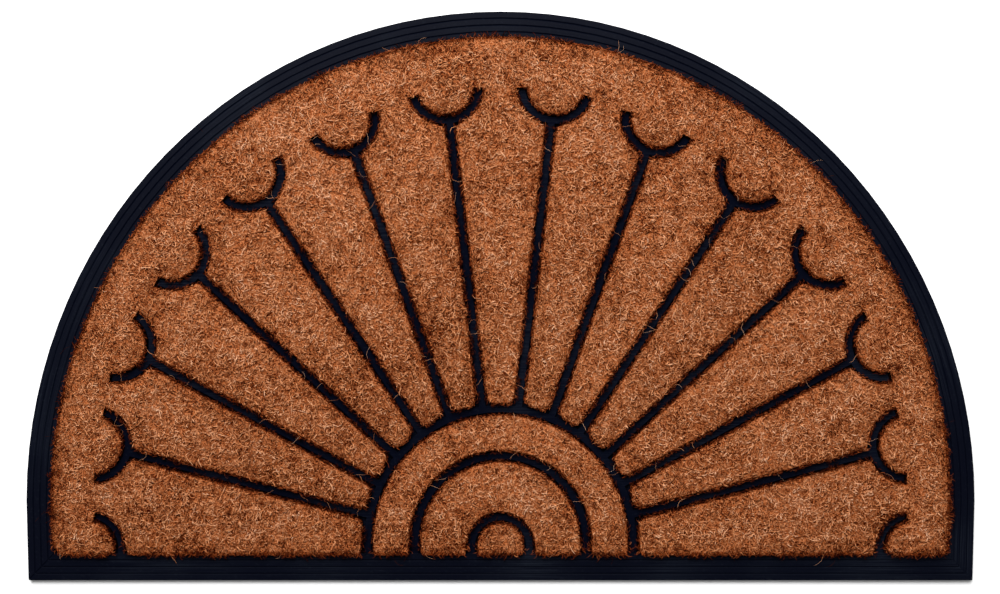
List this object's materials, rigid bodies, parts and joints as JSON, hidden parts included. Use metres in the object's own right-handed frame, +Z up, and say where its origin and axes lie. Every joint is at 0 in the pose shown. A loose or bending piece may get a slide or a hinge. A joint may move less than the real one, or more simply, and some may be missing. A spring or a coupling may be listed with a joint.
{
  "type": "half-round coir doormat",
  "caption": "Half-round doormat of short coir pile in a black rubber moulding, with a grooved border and a raised sunburst of rubber lines. It lies flat at a door and wipes shoes.",
  "frame": {"origin": "on the floor, under the middle of the mat's box", "axes": "+X along the straight edge, +Y from the straight edge towards the top of the arc, +Z up out of the pile"},
  "size_m": [0.762, 0.4572, 0.014],
  "materials": {
    "rubber": "matte",
    "coir": "rough"
  },
  "bodies": {
    "root": {"rubber_moulding": "rubber", "coir_sunburst": "coir", "coir_outer_ring": "coir", "coir_inner_ring": "coir", "coir_hub": "coir"}
  },
  "joints": []
}
